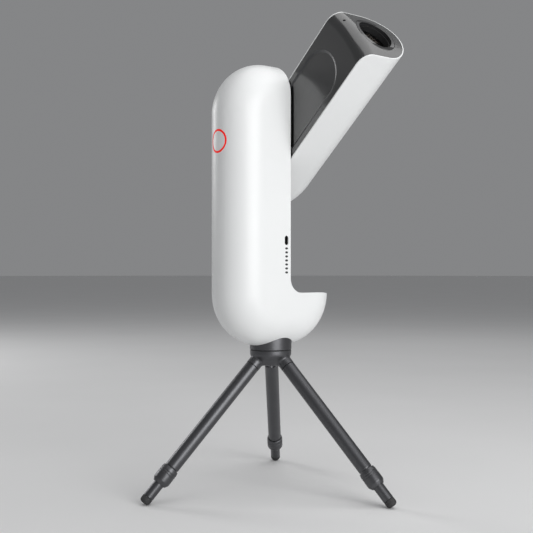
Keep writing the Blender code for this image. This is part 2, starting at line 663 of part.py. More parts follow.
def make_focus_drive(arm):
    """The sensor's carriage on its two rails, and the screw that drives it."""
    carriage = add_object("focus_carriage", block((15.5, -28.0, -16.0), (68.0, 28.0, -8.0)), arm,
                          "black_plastic")
    boolean(
        carriage, "DIFFERENCE",
        add_object("nut_bore", rod(
            FOCUS_SCREW_RADIUS + GAP, -20, 0, 12, centre=FOCUS_SCREW), arm),
        *(add_object(f"bushing_bore_{number}", rod(
            RAIL_RADIUS + GAP, -20, 0, 12, centre=place), arm)
          for number, place in enumerate(FOCUS_RAILS, 1)),
    )
    board = add_object("image_sensor_board", block((30.0, -18.0, -17.9), (66.0, 18.0, -16.3)),
                       arm, "circuit_board")
    boolean(board, "UNION", add_object("image_sensor", block(
        (LENS_X - 6.0, -5.0, -20.0), (LENS_X + 6.0, 5.0, -17.0)), arm))
    spin = add_empty("focus_screw_axis", FOCUS_SCREW, arm)
    add_object("focus_screw", rod(FOCUS_SCREW_RADIUS, -49.7, 65.0, 12), spin, "steel")


def main():
    clear_scene()
    stand = add_empty("stand_axis", (*AZIMUTH_AXIS, 0))
    make_tripod(stand)
    make_neck(stand)
    pillar = add_empty("azimuth_axis", (0, 0, BODY_BOTTOM + ALTITUDE_HEIGHT), stand)
    make_pillar(pillar)
    arm = add_empty("altitude_axis", (0, 0, 0), pillar, (-ARM_TURN, 0, 0))
    make_arm(arm)
    make_focus_drive(arm)


main()
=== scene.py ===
"""Looks of a smart telescope on a short tripod: a pill-shaped white body that splits into a fixed
pillar and a swinging optical arm, with dark inner covers, on dark grey tripod legs.

Lengths are metres, and the object's own are written as millimetres times MM. BODY_ORIGIN is the
point where the altitude axis crosses the plane between pillar and arm. The body's shapes are made
around it, with the arm folded down, and the arm's pieces are then turned to their place.
"""
import json
import math

import bmesh
import bpy
from bpy.props import FloatProperty, FloatVectorProperty, PointerProperty
from bpy.types import Operator, Panel, PropertyGroup
from mathutils import Matrix, Vector


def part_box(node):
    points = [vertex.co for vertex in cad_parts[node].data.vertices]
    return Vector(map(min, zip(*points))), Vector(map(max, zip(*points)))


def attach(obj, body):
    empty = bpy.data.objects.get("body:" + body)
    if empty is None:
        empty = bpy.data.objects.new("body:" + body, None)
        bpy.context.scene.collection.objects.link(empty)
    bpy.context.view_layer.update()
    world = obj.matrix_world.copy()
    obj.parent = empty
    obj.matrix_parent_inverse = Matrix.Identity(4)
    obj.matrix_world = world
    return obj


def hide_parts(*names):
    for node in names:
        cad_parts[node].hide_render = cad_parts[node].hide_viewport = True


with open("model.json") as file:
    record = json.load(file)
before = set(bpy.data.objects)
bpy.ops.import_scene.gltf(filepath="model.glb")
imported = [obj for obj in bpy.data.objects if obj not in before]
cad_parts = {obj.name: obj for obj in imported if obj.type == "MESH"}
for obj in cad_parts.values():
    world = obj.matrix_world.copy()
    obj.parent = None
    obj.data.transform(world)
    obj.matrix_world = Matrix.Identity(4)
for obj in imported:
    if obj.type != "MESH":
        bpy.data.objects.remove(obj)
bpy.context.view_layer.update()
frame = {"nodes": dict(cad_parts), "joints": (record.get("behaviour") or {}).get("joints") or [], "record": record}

bl_info = {
    "name": "Smart telescope",
    "version": (1, 0, 0),
    "blender": (4, 5, 0),
    "location": "View3D > Sidebar > Telescope",
    "description": "Builds a smart telescope's housings, lens, tripod and studio",
    "category": "Object",
}

MM = 0.001
GAP = 0.3 * MM                      # clearance between fitted pieces

# Places and sizes that come from the frame
JOINTS = {joint["name"]: joint for joint in frame["joints"]}
BODY_ORIGIN = Vector(JOINTS["altitude"]["pos_m"])
FOLDED_TURN = math.radians(JOINTS["altitude"]["range_deg"][1])
PILLAR_PLACE = Matrix.Translation(BODY_ORIGIN)
ARM_PLACE = PILLAR_PLACE @ Matrix.Rotation(-FOLDED_TURN, 4, "X")
PILLAR_LOW, PILLAR_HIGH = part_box("pillar_shell")
BODY_WIDTH = PILLAR_HIGH.x - PILLAR_LOW.x
BODY_DEPTH = PILLAR_HIGH.y - PILLAR_LOW.y
BODY_TOP = PILLAR_HIGH.z - BODY_ORIGIN.z
RING_LOW, RING_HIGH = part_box("button_ring_light")
RING_RADIUS = (RING_HIGH.z - RING_LOW.z) / 2
NECK_LOW, NECK_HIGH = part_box("base_neck")
CROWN_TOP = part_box("tripod_crown")[1].z
LEG_NUMBERS = (1, 2, 3)
SCREW_NUMBERS = (1, 2, 3, 4)

# Where cutting tools start, outside the body and measured from BODY_ORIGIN
BEYOND_NOSE = -110 * MM             # along X
BEYOND_LENS_END = -230 * MM         # along Z, with the arm folded down

# Fixed details
PILLAR_SHAFT_RADIUS = 14 * MM       # hole in the pillar's cover round the altitude shaft
ARM_SHAFT_RADIUS = 13 * MM          # the same in the arm's cover
RING_CLEARANCE = 0.5 * MM           # round the lens ring, in the arm's cover
SENSING_RADIUS = 1.7 * MM           # small hole beside the lens
SENSING_PLACE = Vector((9.5 * MM, -24.8 * MM, 0))
FILLET_GAP = 1.0 * MM               # by which the arm's edge is rounded less than the shelf
NECK_CLEARANCE = 0.6 * MM           # round the neck, in the pillar's shell
SCREW_RADIUS = 5.2 * MM             # hole for the tripod screw, in neck and crown
BORE_RADIUS = 7.8 * MM              # inside the upper leg tube and the collar
SPIGOT_RADIUS = 6 * MM              # end of the upper tube that goes into the crown
SPIGOT_LENGTH = 12 * MM
MARK_COUNT = 7
MARK_START = 4.6 * MM               # from the port's end to the first mark's middle
MARK_THICKNESS = 0.12 * MM
MARK_SINK = 0.03 * MM               # middle of a mark's thickness, behind the front
SMOOTH_ANGLE = math.radians(34)     # edges sharper than this stay sharp
RECESS_ANGLE = math.radians(16)     # the same on the arm's cover, so that the recess's rim stays crisp

# The camera stands level, to the front left
CAMERA_TURN = math.radians(38.6)
CAMERA_DISTANCE = 1.2765
CAMERA_SHIFT = 0.006                # to its own left
CAMERA_HEIGHT = 0.3213
CAMERA_LENS = 59.7                  # focal length in millimetres, on a sensor 36 mm wide
FLOOR_RADIUS = 30.0


# ---- sizes and colours that a user would change ---------------------------------------------
def length(name, description, millimetres):
    return FloatProperty(name=name, description=description, default=millimetres * MM,
                         min=0.0, unit="LENGTH", precision=4)


def colour(name, description, red, green, blue):
    return FloatVectorProperty(name=name, description=description, subtype="COLOR",
                               default=(red, green, blue), min=0.0, max=1.0)


class TelescopeHousingSizes(PropertyGroup):
    """Sizes of the white shells and dark covers."""

    body_height: length("Body height", "Height of the closed body", 400.0)
    corner_radius: length("Corner radius", "Corner radius seen from the front", 75.0)
    wall: length("Wall", "Thickness of the white shells", 1.6)
    cover_gap: length("Cover gap", "Gap between a shell's rim and its dark cover", 0.2)
    cover_wall: length("Pillar cover wall", "Thickness of the pillar's dark cover", 2.5)
    arm_cover_wall: length("Arm cover wall", "Thickness of the arm's dark cover", 4.0)
    shelf_radius: length("Shelf radius", "Radius of the shelf about the altitude axis", 215.0)
    shelf_fillet: length("Shelf fillet", "Rounding between shelf and pillar", 20.0)
    arm_clearance: length("Arm clearance", "Gap between arm and pillar", 1.5)
    edge_rounding: length("Edge rounding", "Rounding of the shells' rims", 0.55)
    recess_half_width: length("Recess half width", "Half width of the arm's long recess", 36.0)
    recess_length: length("Recess length", "From the pivot to the recess's far centre", 132.0)
    recess_depth: length("Recess depth", "Depth of the arm's long recess", 1.5)
    recess_slope: length("Recess slope", "Width of the recess's sloping side", 3.4)
    port_across: length("Port position", "Port from the pillar's inner edge", 7.6)
    port_height: length("Port height", "Port above the body's bottom", 149.6)
    port_width: length("Port width", "Width of the charging port", 6.6)
    port_length: length("Port length", "Length of the charging port", 13.2)
    mark_width: length("Mark width", "Width of one printed oval", 5.2)
    mark_height: length("Mark height", "Height of one printed oval", 3.1)
    mark_pitch: length("Mark pitch", "Distance between printed ovals", 5.6)


class TelescopeLensSizes(PropertyGroup):
    """Sizes on the optical axis."""

    axis_across: length("Axis position", "Optical axis from the plane beside the pillar", 48.0)
    ring_radius: length("Ring radius", "Outer radius of the ring round the lens", 30.4)
    mouth_radius: length("Mouth radius", "Radius of the ring's mouth", 25.6)
    clear_radius: length("Clear radius", "Radius of the opening over the front lens", 24.0)
    seat_reach: length("Seat reach", "Filter seat from the altitude axis", 208.5)
    lens_reach: length("Lens reach", "Front lens's edge from the altitude axis", 199.0)
    lens_radius: length("Lens radius", "Radius of the front lens", 26.4)
    lens_bulge: length("Lens bulge", "Height of the front lens's dome", 4.0)


class TelescopeTripodSizes(PropertyGroup):
    """Sizes of the neck, crown and legs; distances along a leg start at its seam."""

    neck_radius: length("Neck radius", "Outer radius of the neck", 30.0)
    tube_radius: length("Tube radius", "Outer radius of the upper leg tube", 10.0)
    collar_start: length("Collar start", "Start of the lock collar along the leg", 181.0)
    collar_end: length("Collar end", "End of the lock collar along the leg", 208.0)
    collar_radius: length("Collar radius", "Outer radius of the lock collar", 12.2)
    lower_radius: length("Lower tube radius", "Outer radius of the sliding tube", 7.5)
    lower_end: length("Lower tube end", "End of the sliding tube along the leg", 230.5)
    leg_end: length("Leg end", "End of the rubber tip along the leg", 240.2)


class TelescopeColours(PropertyGroup):
    """Colours of the finishes."""

    white: colour("White plastic", "Glossy white shells", 0.80, 0.81, 0.81)
    cover: colour("Dark cover", "Dark inner covers and arm end", 0.007, 0.0071, 0.0076)
    metal: colour("Dark metal", "Anodised tripod and neck", 0.105, 0.106, 0.112)
    rubber: colour("Rubber", "Feet and pads", 0.030, 0.030, 0.031)
    light: colour("Light ring", "Lit ring round the power button", 0.58, 0.006, 0.002)
    ink: colour("Printed marks", "Ovals printed on the front", 0.03, 0.03, 0.032)
    floor: colour("Floor", "Pale studio floor", 0.80, 0.80, 0.80)


def housing():
    return bpy.context.scene.telescope_housing


def lens_sizes():
    return bpy.context.scene.telescope_lens


def tripod():
    return bpy.context.scene.telescope_tripod


def colours():
    return bpy.context.scene.telescope_colours


# ---- procedural materials -------------------------------------------------------------------
def new_material(name, base, roughness, metallic=0.0):
    """A material and its Principled shader node."""
    material = bpy.data.materials.new(name)
    material.use_nodes = True
    shader = material.node_tree.nodes["Principled BSDF"]
    shader.inputs["Base Color"].default_value = (*base, 1.0)
    shader.inputs["Roughness"].default_value = roughness
    shader.inputs["Metallic"].default_value = metallic
    return material, shader


def noise(material, scale, detail=3.0, stretch=(1.0, 1.0, 1.0)):
    """A noise texture on Object coordinates, stretched along the axes."""
    nodes, links = material.node_tree.nodes, material.node_tree.links
    place = nodes.new("ShaderNodeTexCoord")
    mapping = nodes.new("ShaderNodeMapping")
    mapping.inputs["Scale"].default_value = stretch
    texture = nodes.new("ShaderNodeTexNoise")
    texture.inputs["Scale"].default_value = scale
    texture.inputs["Detail"].default_value = detail
    links.new(place.outputs["Object"], mapping.inputs["Vector"])
    links.new(mapping.outputs["Vector"], texture.inputs["Vector"])
    return texture


def vary_roughness(material, shader, texture, low, high):
    nodes, links = material.node_tree.nodes, material.node_tree.links
    spread = nodes.new("ShaderNodeMapRange")
    spread.inputs["To Min"].default_value = low
    spread.inputs["To Max"].default_value = high
    links.new(texture.outputs["Fac"], spread.inputs["Value"])
    links.new(spread.outputs["Result"], shader.inputs["Roughness"])


def vary_colour(material, shader, texture, base, share):
    """Base colour that drifts by a share of itself with the texture."""
    nodes, links = material.node_tree.nodes, material.node_tree.links
    ramp = nodes.new("ShaderNodeValToRGB")
    ramp.color_ramp.elements[0].position = 0.3
    ramp.color_ramp.elements[1].position = 0.7
    ramp.color_ramp.elements[0].color = (*[c * (1 - share) for c in base], 1.0)
    ramp.color_ramp.elements[1].color = (*[min(1.0, c * (1 + share)) for c in base], 1.0)
    links.new(texture.outputs["Fac"], ramp.inputs["Fac"])
    links.new(ramp.outputs["Color"], shader.inputs["Base Color"])


def add_bump(material, shader, texture, strength, distance):
    nodes, links = material.node_tree.nodes, material.node_tree.links
    bump = nodes.new("ShaderNodeBump")
    bump.inputs["Strength"].default_value = strength
    bump.inputs["Distance"].default_value = distance
    links.new(texture.outputs["Fac"], bump.inputs["Height"])
    links.new(bump.outputs["Normal"], shader.inputs["Normal"])


def finish(name):
    """Mark a function as the maker of the finish of this name, which is made at its first use."""
    def wrap(maker):
        def give():
            return bpy.data.materials.get(name) or maker(name)
        return give
    return wrap


@finish("white_gloss_plastic")
def white_plastic(name):
    base = tuple(colours().white)
    material, shader = new_material(name, base, 0.42)
    shader.inputs["Coat Weight"].default_value = 0.15
    shader.inputs["Coat Roughness"].default_value = 0.28
    vary_colour(material, shader, noise(material, 6.0, 2.0), base, 0.012)
    vary_roughness(material, shader, noise(material, 900.0), 0.38, 0.46)
    add_bump(material, shader, noise(material, 1400.0, 2.0), 0.05, 0.00005)
    return material


@finish("dark_satin_plastic")
def dark_plastic(name):
    base = tuple(colours().cover)
    material, shader = new_material(name, base, 0.36)
    shader.inputs["Coat Weight"].default_value = 0.8
    shader.inputs["Coat Roughness"].default_value = 0.13
    shader.inputs["Coat IOR"].default_value = 1.9
    vary_colour(material, shader, noise(material, 9.0, 2.0), base, 0.06)
    vary_roughness(material, shader, noise(material, 1200.0), 0.33, 0.42)
    add_bump(material, shader, noise(material, 2600.0, 2.0), 0.10, 0.00005)
    return material


# A grey much lighter than the dark cover: painted highlight on the recess's sloping sides.
@finish("slope_painted_highlight_plastic")
def painted_highlight_slope(name):
    base = (0.045, 0.046, 0.049)
    material, shader = new_material(name, base, 0.3)
    vary_colour(material, shader, noise(material, 9.0, 2.0), base, 0.06)
    vary_roughness(material, shader, noise(material, 1200.0), 0.28, 0.34)
    return material


@finish("dark_anodised_metal")
def anodised_metal(name):
    base = tuple(colours().metal)
    material, shader = new_material(name, base, 0.36, 0.9)
    vary_colour(material, shader, noise(material, 40.0, 3.0), base, 0.05)
    vary_roughness(material, shader, noise(material, 1800.0, 4.0), 0.32, 0.44)
    add_bump(material, shader, noise(material, 3200.0, 2.0), 0.14, 0.00005)
    return material


@finish("moulded_rubber")
def soft_rubber(name):
    base = tuple(colours().rubber)
    material, shader = new_material(name, base, 0.75)
    vary_colour(material, shader, noise(material, 300.0, 4.0), base, 0.25)
    vary_roughness(material, shader, noise(material, 700.0), 0.66, 0.82)
    add_bump(material, shader, noise(material, 1500.0, 5.0), 0.35, 0.0001)
    return material


@finish("red_light_guide")
def lit_ring(name):
    base = tuple(colours().light)
    material, shader = new_material(name, base, 0.5)
    shader.inputs["Specular IOR Level"].default_value = 0.15
    shader.inputs["Emission Color"].default_value = (*base, 1.0)
    shader.inputs["Emission Strength"].default_value = 0.7
    vary_roughness(material, shader, noise(material, 800.0), 0.45, 0.55)
    vary_colour(material, shader, noise(material, 120.0, 2.0), base, 0.05)
    return material


@finish("coated_lens_glass")
def coated_glass(name):
    material, shader = new_material(name, (0.42, 0.40, 0.38), 0.02)
    shader.inputs["Transmission Weight"].default_value = 1.0
    shader.inputs["IOR"].default_value = 1.5
    shader.inputs["Specular Tint"].default_value = (0.85, 0.72, 0.6, 1.0)
    vary_roughness(material, shader, noise(material, 60.0), 0.012, 0.03)
    return material


@finish("matte_black_paint")
def black_paint(name):
    base = (0.009, 0.009, 0.010)
    material, shader = new_material(name, base, 0.7)
    vary_colour(material, shader, noise(material, 400.0), base, 0.2)
    vary_roughness(material, shader, noise(material, 900.0), 0.6, 0.8)
    add_bump(material, shader, noise(material, 2200.0), 0.2, 0.00005)
    return material


@finish("grey_printed_ink")
def printed_ink(name):
    base = tuple(colours().ink)
    material, shader = new_material(name, base, 0.5)
    vary_colour(material, shader, noise(material, 1500.0), base, 0.1)
    return material


def machined_metal(name, base):
    """Turned or ground metal with fine lines across its length."""
    material, shader = new_material(name, base, 0.32, 1.0)
    lines = noise(material, 260.0, 5.0, (1.0, 1.0, 12.0))
    vary_colour(material, shader, lines, base, 0.08)
    vary_roughness(material, shader, lines, 0.24, 0.42)
    add_bump(material, shader, lines, 0.12, 0.00005)
    return material


@finish("machined_aluminium")
def machined_aluminium(name):
    return machined_metal(name, (0.62, 0.63, 0.65))


@finish("ground_steel")
def ground_steel(name):
    return machined_metal(name, (0.5, 0.5, 0.51))


@finish("machined_brass")
def machined_brass(name):
    return machined_metal(name, (0.72, 0.55, 0.25))


@finish("green_circuit_board")
def green_board(name):
    base = (0.015, 0.10, 0.045)
    material, shader = new_material(name, base, 0.4)
    tracks = noise(material, 420.0, 1.0, (1.0, 1.0, 0.25))
    vary_colour(material, shader, tracks, base, 0.45)
    add_bump(material, shader, tracks, 0.2, 0.00005)
    return material


@finish("blue_shrink_wrap")
def battery_wrap(name):
    base = (0.03, 0.07, 0.16)
    material, shader = new_material(name, base, 0.35)
    vary_colour(material, shader, noise(material, 25.0), base, 0.15)
    add_bump(material, shader, noise(material, 90.0, 4.0), 0.2, 0.0004)
    return material


# ---- shapes ---------------------------------------------------------------------------------
def soften(bm, width, segments=2, angle=40.0):
    """Round every edge sharper than angle, in degrees."""
    limit = math.radians(angle)
    sharp = [e for e in bm.edges if len(e.link_faces) == 2 and e.calc_face_angle() > limit]
    bmesh.ops.bevel(bm, geom=sharp, offset=width, offset_type="OFFSET", segments=segments,
                    profile=0.5, affect="EDGES", clamp_overlap=True, material=-1)


def cuboid(low, high):
    bm = bmesh.new()
    bmesh.ops.create_cube(bm, size=1.0)
    low, high = Vector(low), Vector(high)
    bmesh.ops.scale(bm, vec=high - low, verts=bm.verts)
    bmesh.ops.translate(bm, vec=(low + high) / 2, verts=bm.verts)
    return bm


def rounded_slab(sizes, inset, corner_steps=20, rim_steps=14):
    """The closed body's surface, moved inwards by inset: a box with the four corners seen from the
    front rounded first, and then its front and back rims, which meet in a half circle."""
    half = Vector((BODY_WIDTH / 2, BODY_DEPTH / 2, 0)) - Vector((inset, inset, 0))
    bottom = BODY_TOP - sizes.body_height + inset
    bm = cuboid((-half.x, -half.y, bottom), (half.x, half.y, BODY_TOP - inset))
    corners = [e for e in bm.edges if abs(e.verts[0].co.y - e.verts[1].co.y) > half.y]
    bmesh.ops.bevel(bm, geom=corners, offset=sizes.corner_radius - inset, offset_type="OFFSET",
                    segments=corner_steps, profile=0.5, affect="EDGES", clamp_overlap=False,
                    material=-1)
    rims = [e for e in bm.edges if abs(e.verts[0].co.y - e.verts[1].co.y) < 1e-6]
    bmesh.ops.bevel(bm, geom=rims, offset=half.y, offset_type="OFFSET", segments=rim_steps,
                    profile=0.5, affect="EDGES", clamp_overlap=False, material=-1)
    bmesh.ops.remove_doubles(bm, verts=bm.verts, dist=1e-6)
    bmesh.ops.recalc_face_normals(bm, faces=bm.faces)
    return bm


def swept_space(start_x, radius, fillet, end_x=120 * MM, steps=180):
    """The space that the arm sweeps: everything nearer the altitude axis than radius, from the
    plane start_x to the plane end_x, with a fillet where the first plane meets the round side."""
    bm = bmesh.new()
    corner = Vector((start_x + fillet, 0, -(radius - fillet)))
    first = bm.verts.new(corner + Vector((-fillet, 0, 0)))
    arc = bmesh.ops.spin(bm, geom=[first], cent=corner, axis=(0, 1, 0), angle=-math.pi / 2,
                         steps=12, use_duplicate=False)
    last = next(v for v in arc["geom_last"] if isinstance(v, bmesh.types.BMVert))
    end = bm.verts.new((end_x, 0, -radius))
    bm.edges.new((last, end))
    bmesh.ops.spin(bm, geom=bm.verts[:] + bm.edges[:], cent=(0, 0, 0), axis=(1, 0, 0),
                   angle=math.tau, steps=steps, use_merge=True, use_duplicate=False)
    bmesh.ops.remove_doubles(bm, verts=bm.verts, dist=1e-7)
    bmesh.ops.holes_fill(bm, edges=bm.edges, sides=0)
    bmesh.ops.recalc_face_normals(bm, faces=bm.faces)
    return bm


def turned(profile, steps=96):
    """A profile of (radius, height) points spun about the Z axis."""
    bm = bmesh.new()
    verts = [bm.verts.new((radius, 0, height)) for radius, height in profile]
    for a, b in zip(verts, verts[1:] + verts[:1]):
        if a.co.x > 1e-9 or b.co.x > 1e-9:
            bm.edges.new((a, b))
    bmesh.ops.spin(bm, geom=bm.verts[:] + bm.edges[:], cent=(0, 0, 0), axis=(0, 0, 1),
                   angle=math.tau, steps=steps, use_merge=True, use_duplicate=False)
    bmesh.ops.remove_doubles(bm, verts=bm.verts, dist=1e-7)
    bmesh.ops.recalc_face_normals(bm, faces=bm.faces)
    return bm


def disc_rod(radius, low, high, steps=96):
    """A solid rod on the Z axis."""
    return turned([(0, low), (radius, low), (radius, high), (0, high)], steps)


def slot_prism(half_width, low, high, start, end, axis="Y", across=0.0):
    """A round-ended slot's solid: a box from low to high with its corners rounded, standing
    from start to end along the axis X or Y."""
    bm = cuboid((across - half_width, start, low - half_width),
                (across + half_width, end, high + half_width))
    corners = [e for e in bm.edges if abs(e.verts[0].co.y - e.verts[1].co.y) > 1e-6]
    bmesh.ops.bevel(bm, geom=corners, offset=half_width * 0.9999, offset_type="OFFSET",
                    segments=24, profile=0.5, affect="EDGES", clamp_overlap=False, material=-1)
    bmesh.ops.remove_doubles(bm, verts=bm.verts, dist=1e-7)
    if axis == "X":
        bmesh.ops.rotate(bm, verts=bm.verts, cent=(0, 0, 0),
                         matrix=Matrix.Rotation(-math.pi / 2, 3, "Z"))
    bmesh.ops.recalc_face_normals(bm, faces=bm.faces)
    return bm


def along_x(bm):
    """The shape with its Z axis laid along X."""
    bmesh.ops.rotate(bm, verts=bm.verts, cent=(0, 0, 0), matrix=Matrix.Rotation(math.pi / 2, 3, "Y"))
    return bm


def moved(bm, offset):
    bmesh.ops.translate(bm, vec=offset, verts=bm.verts)
    return bm


def loose_object(name, bm):
    mesh = bpy.data.meshes.new(name)
    bm.to_mesh(mesh)
    bm.free()
    obj = bpy.data.objects.new(name, mesh)
    bpy.context.scene.collection.objects.link(obj)
    return obj


def settled(obj):
    """The object's mesh with its modifiers applied, as a bmesh; the object is removed."""
    depsgraph = bpy.context.evaluated_depsgraph_get()
    bm = bmesh.new()
    bm.from_object(obj, depsgraph)
    bpy.data.objects.remove(obj, do_unlink=True)
    return bm


def combined(bm, operation, *tools):
    """The solid after it is cut by, joined to or met with the tools, which are used up."""
    obj = loose_object("work", bm)
    helpers = [loose_object("tool", tool) for tool in tools]
    for helper in helpers:
        modifier = obj.modifiers.new("cut", "BOOLEAN")
        modifier.operation = operation
        modifier.solver = "EXACT"
        modifier.object = helper
    bpy.context.view_layer.update()
    result = settled(obj)
    for helper in helpers:
        bpy.data.objects.remove(helper, do_unlink=True)
    bmesh.ops.remove_doubles(result, verts=result.verts, dist=2e-6)
    bmesh.ops.dissolve_degenerate(result, edges=result.edges, dist=2e-6)
    return result


def piece(name, bm, body, material, nodes=(), matrix=None, smooth=SMOOTH_ANGLE):
    """A finished piece, in place in its mesh, riding on a body and standing for CAD nodes."""
    if matrix is not None:
        bmesh.ops.transform(bm, matrix=matrix, verts=bm.verts)
    obj = loose_object(name, bm)
    obj.data.shade_smooth()
    obj.data.set_sharp_from_angle(angle=smooth)
    obj.data.materials.append(material)
    weighted = obj.modifiers.new("weighted", "WEIGHTED_NORMAL")
    weighted.keep_sharp = True
    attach(obj, body)
    if nodes:
        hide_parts(*nodes)
    return obj


# ---- pillar ---------------------------------------------------------------------------------
def port_span(sizes):
    """Heights of the centres of the port's two round ends."""
    middle = BODY_TOP - sizes.body_height + sizes.port_height
    reach = (sizes.port_length - sizes.port_width) / 2
    return middle - reach, middle + reach


class TELESCOPE_OT_pillar_housing(Operator):
    """Build the pillar's white shell and its dark inner cover"""

    bl_idname = "telescope.pillar_housing"
    bl_label = "Pillar housing"

    def execute(self, context):
        sizes = housing()
        notch = (0.0, sizes.shelf_radius, sizes.shelf_fillet)
        low, high = port_span(sizes)
        neck_reach = (NECK_LOW.z - BODY_ORIGIN.z, NECK_HIGH.z - BODY_ORIGIN.z)
        shell = combined(
            rounded_slab(sizes, 0.0), "DIFFERENCE",
            rounded_slab(sizes, sizes.wall),
            swept_space(*notch),
            disc_rod(tripod().neck_radius + NECK_CLEARANCE, *neck_reach),
            along_x(disc_rod(RING_RADIUS + GAP, BEYOND_NOSE, -75 * MM)),
            slot_prism(sizes.port_width / 2, low, high, -60 * MM, -30 * MM,
                       across=-sizes.port_across),
        )
        soften(shell, sizes.edge_rounding, 3)
        piece("pillar_housing", shell, "pillar", white_plastic(),
              ["pillar_shell"], PILLAR_PLACE)

        cover = combined(
            swept_space(-sizes.cover_wall, sizes.shelf_radius + sizes.cover_wall,
                        sizes.shelf_fillet + sizes.cover_wall),
            "DIFFERENCE", swept_space(*notch),
            along_x(disc_rod(PILLAR_SHAFT_RADIUS, -10 * MM, 10 * MM)),
            *self.screw_holes(),
        )
        cover = combined(cover, "INTERSECT", rounded_slab(sizes, sizes.wall + sizes.cover_gap))
        soften(cover, 0.3 * MM)
        piece("pillar_cover", cover, "pillar", dark_plastic(),
              ["pillar_inner_cover"], PILLAR_PLACE)
        return {"FINISHED"}

    @staticmethod
    def screw_holes():
        """A counterbored hole over each of the cover's screws."""
        shank, head, ledge = 1.7 * MM, 3.1 * MM, -1.7 * MM
        inner, outer = -9 * MM, 5 * MM
        profile = [(0, inner), (shank, inner), (shank, ledge), (head, ledge), (head, outer),
                   (0, outer)]
        holes = []
        for number in SCREW_NUMBERS:
            low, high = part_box(f"cover_screw_{number}")
            middle = (low + high) / 2 - BODY_ORIGIN
            holes.append(moved(along_x(turned(profile, 40)), (0, middle.y, middle.z)))
        return holes


class TELESCOPE_OT_power_button(Operator):
    """Build the power button and the lit ring round it"""

    bl_idname = "telescope.power_button"
    bl_label = "Power button and light ring"

    def execute(self, context):
        sizes = housing()
        low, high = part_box("power_button")
        cap_radius = (high.z - low.z) / 2
        inner, outer = cap_radius + 0.12 * MM, RING_RADIUS + 0.2 * MM
        start, end = -100 * MM, -80 * MM
        ring = turned([(inner, start), (outer, start), (outer, end), (inner, end)])
        ring = combined(along_x(ring), "INTERSECT", rounded_slab(sizes, 0.0))
        soften(ring, 0.12 * MM)
        piece("light_ring", ring, "pillar", lit_ring(), ["button_ring_light"],
              PILLAR_PLACE)
        back = high.x - BODY_ORIGIN.x
        cap = combined(along_x(disc_rod(cap_radius, start, back)), "INTERSECT",
                       rounded_slab(sizes, 0.0))
        soften(cap, 0.15 * MM)
        piece("button_cap", cap, "power_button", white_plastic(),
              ["power_button"], PILLAR_PLACE)
        return {"FINISHED"}


class TELESCOPE_OT_charging_port(Operator):
    """Build the charging socket inside the port, and the printed ovals below it"""

    bl_idname = "telescope.charging_port"
    bl_label = "Charging port and marks"

    def execute(self, context):
        sizes = housing()
        low, high = port_span(sizes)
        box_low, box_high = (corner - BODY_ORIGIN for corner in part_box("usb_c_socket"))
        middle = (low + high) / 2
        across = -sizes.port_across
        socket = cuboid(box_low, box_high)
        soften(socket, 0.8 * MM, 3)
        front = box_low.y
        mouth = slot_prism(1.6 * MM, middle - 2.9 * MM, middle + 2.9 * MM, front - 3 * MM,
                           front + 6.2 * MM, across=across)
        tongue = slot_prism(0.35 * MM, middle - 2.7 * MM, middle + 2.7 * MM, front + 1 * MM,
                            front + 6.8 * MM, across=across)
        socket = combined(socket, "DIFFERENCE", mouth)
        socket = combined(socket, "UNION", tongue)
        piece("charging_socket", socket, "pillar", black_paint(), ["usb_c_socket"],
              PILLAR_PLACE)
        self.print_marks(sizes, across, low)
        return {"FINISHED"}

    @staticmethod
    def print_marks(sizes, across, port_low):
        """Flat ovals in a row below the port, a little proud of the front."""
        start = port_low - sizes.port_width / 2 - MARK_START
        marks = bmesh.new()
        for index in range(MARK_COUNT):
            before = set(marks.verts)
            bmesh.ops.create_cone(marks, cap_ends=True, segments=28, depth=MARK_THICKNESS,
                                  radius1=sizes.mark_width / 2, radius2=sizes.mark_width / 2)
            fresh = [v for v in marks.verts if v not in before]
            bmesh.ops.scale(marks, verts=fresh,
                            vec=(1, sizes.mark_height / sizes.mark_width, 1))
            bmesh.ops.rotate(marks, verts=fresh, cent=(0, 0, 0),
                             matrix=Matrix.Rotation(math.pi / 2, 3, "X"))
            bmesh.ops.translate(marks, verts=fresh, vec=(
                across, -BODY_DEPTH / 2 + MARK_SINK, start - index * sizes.mark_pitch))
        piece("front_marks", marks, "pillar", printed_ink(), (), PILLAR_PLACE)


